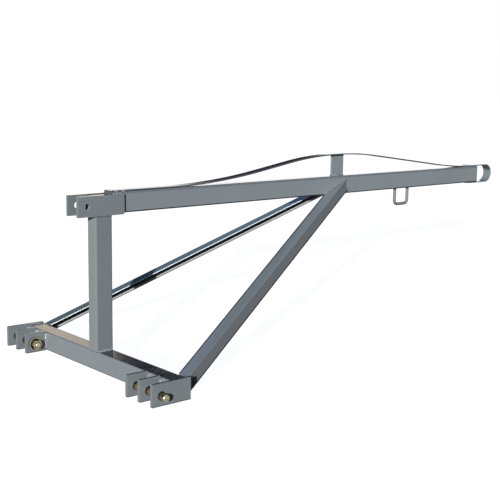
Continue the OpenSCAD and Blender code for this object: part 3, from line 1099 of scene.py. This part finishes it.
def strap_beads(side, name):
    """Two stitches at the strap's front end and one at its rear, on one edge."""
    edge, top, out = side * strap_side, BOOM_Z[1], (0, side, 0)
    made = []
    for number, behind in enumerate(STITCH_STARTS):
        start = strap_start + behind
        made.append(bead(f"bead_strap_front_{name}_{number}",
                         seam((start, start + STITCH), edge, top), out, UP, leg=4 * MM))
    rear = seam((strap_end - 30 * MM, strap_end - 4 * MM), edge, top)
    made.append(bead(f"bead_strap_rear_{name}", rear, out, UP, leg=3.5 * MM))
    return made


beads = []
for side, name in SIDES:
    for make_beads in (mast_beads, lug_beads, brace_beads, strap_beads):
        beads += make_beads(side, name)
print("paired beads:", len(beads))

# %% [markdown]
# ## Beads on the eye
#
# The strap meets the eye in a butt joint, welded across its top and down both edges, and
# the eye's lower end is welded to the underside of the boom.

# %% Beads on the eye
BAR_EDGES = (-strap_side, strap_side)
BAR_HEIGHT = (BOOM_Z[1], BOOM_Z[1] + BAR_T)
beads.append(bead("bead_eye_joint", seam(strap_end, BAR_EDGES, BAR_HEIGHT[1]), REAR, UP,
                  leg=3.5 * MM, butt=True))
for side, name in SIDES:
    beads.append(bead(f"bead_eye_joint_{name}", seam(strap_end, side * strap_side, BAR_HEIGHT),
                      REAR, (0, side, 0), leg=3 * MM, butt=True))
beads.append(bead("bead_eye_lower", seam(eye_start, BAR_EDGES, BOOM_Z[0]), FRONT, DOWN,
                  leg=4 * MM))
print("beads:", len(beads))

# %% [markdown]
# ## Floor
#
# The frame stands on a plain white ground that runs out of sight. A white floor would need
# so much light that the object burned out, so this one is a dull grey to the lamps and
# glows to the camera alone, by the light path. The little that it reflects on top of the
# glow is what a shadow takes away, so the shadow stays, but faint.

# %% Floor
FLOOR_HALF = 30.0
FLOOR_Z = BEAM_Z[0]
FLOOR_GLOW = 0.94


def white_floor():
    """A floor that is near white to the camera and still takes a faint shadow."""
    material, tree, shader, where = start_material("white floor")
    shader.inputs["Base Color"].default_value = (0.22, 0.22, 0.22, 1.0)
    shader.inputs["Roughness"].default_value = 0.9
    seen = add(tree, "ShaderNodeLightPath").outputs["Is Camera Ray"]
    shader.inputs["Emission Color"].default_value = (1.0, 1.0, 1.0, 1.0)
    wire(tree, shader, {"Emission Strength": times(tree, seen, FLOOR_GLOW)})
    return material


floor_mesh = bpy.data.meshes.new("floor")
floor_mesh.from_pydata(
    [(x * FLOOR_HALF, y * FLOOR_HALF, FLOOR_Z) for x, y in ((-1, -1), (1, -1), (1, 1), (-1, 1))],
    [], [(0, 1, 2, 3)])
floor_mesh.materials.append(white_floor())
floor = bpy.data.objects.new("floor", floor_mesh)
bpy.context.scene.collection.objects.link(floor)
print("floor at z =", round(FLOOR_Z, 4))

# %% [markdown]
# ## World
#
# The frame was sprayed glossy and stands in the open, so its faces mirror what is round
# it: the sky in those that look up, and trees, haze and a sunlit bank in those that are
# seen at a flat angle. A photograph of a sky would be the usual world, but this file reads
# no images, and a few ramps on the direction do the same. Height is the direction's Z and
# azimuth its angle about Z. The camera itself sees plain white.

# %% The dome that the paint mirrors
ZENITH, LOW_SKY = (0.08, 0.15, 0.34, 1.0), (0.2, 0.42, 0.95, 1.0)
TREES, HAZE, BANK = (0.012, 0.014, 0.02, 1.0), (1.7, 1.7, 1.68, 1.0), (1.55, 1.37, 1.13, 1.0)


def sector(tree, azimuth, clear, full, last_full, last_clear):
    """One within a range of azimuths in degrees, with a soft edge at both sides."""
    return times(tree, remap(tree, azimuth, np.radians(clear), np.radians(full)),
                 remap(tree, azimuth, np.radians(last_clear), np.radians(last_full)))


def surroundings(tree):
    """Colour by direction: sky, then trees below it, haze behind, and a sunlit bank."""
    toward = tree.nodes.new("ShaderNodeTexCoord").outputs["Generated"]
    parts = xyz(tree, toward)
    height, azimuth = parts["Z"], maths(tree, "ARCTAN2", parts["Y"], parts["X"])
    sky = blend_colour(tree, remap(tree, height, 0.3, 0.9), LOW_SKY, ZENITH)
    dome = blend_colour(tree, remap(tree, height, 0.5, 0.38), sky, TREES)
    behind = sector(tree, azimuth, 5, 12, 110, 125)
    haze = times(tree, remap(tree, height, 0.16, 0.13), behind)
    dome = blend_colour(tree, haze, dome, HAZE)
    aside = sector(tree, azimuth, 57.0, 57.2, 61.5, 62.2)
    bank = times(tree, aside, remap(tree, height, 0.34, 0.3))
    return blend_colour(tree, bank, dome, BANK)


# %% World
SOFT_SHARE = 0.3


def build_world():
    """White to the camera, the dome to mirrors, and a dim dome to matt surfaces."""
    world = bpy.data.worlds.new("studio")
    bpy.context.scene.world = world
    world.use_nodes = True
    tree = world.node_tree
    tree.nodes.clear()
    path = add(tree, "ShaderNodeLightPath").outputs
    strength = remap(tree, path["Is Diffuse Ray"], 0.0, 1.0, 1.0, SOFT_SHARE)
    unseen = add(tree, "ShaderNodeBackground", {
        "Color": surroundings(tree), "Strength": strength})
    white = add(tree, "ShaderNodeBackground", {"Color": (1, 1, 1, 1), "Strength": 1.0})
    seen = path["Is Camera Ray"]
    mix = add(tree, "ShaderNodeMixShader",
              {0: seen, 1: unseen.outputs[0], 2: white.outputs[0]})
    wire(tree, tree.nodes.new("ShaderNodeOutputWorld"), {"Surface": mix.outputs[0]})


build_world()
print("world:", bpy.context.scene.world.name)

# %% [markdown]
# ## Lamps
#
# A low hard sun from beside the camera lights the front faces and leaves the tops dark. An
# area lamp would be softer, but the shadows under the plates are crisp. A second sun
# shines nearly level from behind, so that the frame can be looked at from there too. It is kept
# out of reflections, where it would put a glare on the strap.

# %% Lamps


def sun(name, travel, strength, spread_degrees, glossy=True):
    """A sun lamp that shines along a direction, and may be left out of reflections."""
    lamp = bpy.data.lights.new(name, "SUN")
    lamp.energy = strength
    lamp.angle = np.radians(spread_degrees)
    thing = bpy.data.objects.new(name, lamp)
    thing.visible_glossy = glossy
    thing.rotation_mode = "QUATERNION"
    thing.rotation_quaternion = Vector(travel).to_track_quat("-Z", "Y")
    bpy.context.scene.collection.objects.link(thing)


sun("key", travel=(31, 24, -8.8), strength=5.6, spread_degrees=0.6)
sun("back", travel=(-31, -24, -1), strength=7.0, spread_degrees=4.0, glossy=False)
print("lamps:", [lamp.name for lamp in bpy.data.lights])

# %% [markdown]
# ## Camera
#
# The camera stands in front and to the left, a little above the frame. It could be aimed
# by a constraint at an empty, but its place and angles were worked out from the
# perspective of straight edges, with the crossmember as the scale, so they are given as
# they are. Colours are shown as they are written, without a film look.

# %% Camera
CAMERA_PLACE = (-1.6581, -2.7444, 0.9109)
HEADING, PITCH, ROLL = np.radians([40.77, 9.62, 0.87])
LENS, SENSOR = 73.19, 36.0


def place_camera():
    """Heading turns from +Y towards +X, pitch looks down, roll leans to the right."""
    aim = np.array([np.cos(PITCH) * np.sin(HEADING), np.cos(PITCH) * np.cos(HEADING),
                    -np.sin(PITCH)])
    right = np.array([np.cos(HEADING), -np.sin(HEADING), 0.0])
    up = np.cross(right, aim)
    across = right * np.cos(ROLL) + up * np.sin(ROLL)
    above = -right * np.sin(ROLL) + up * np.cos(ROLL)
    camera = bpy.data.objects.new("camera", bpy.data.cameras.new("camera"))
    camera.data.lens = LENS
    camera.data.sensor_width = SENSOR
    camera.matrix_world = Matrix.Translation(CAMERA_PLACE) @ Matrix(
        np.stack([across, above, -aim], axis=1).tolist()).to_4x4()
    bpy.context.scene.collection.objects.link(camera)
    bpy.context.scene.camera = camera


place_camera()
bpy.context.scene.view_settings.view_transform = "Standard"
print("camera at", CAMERA_PLACE, "with a lens of", LENS, "mm")
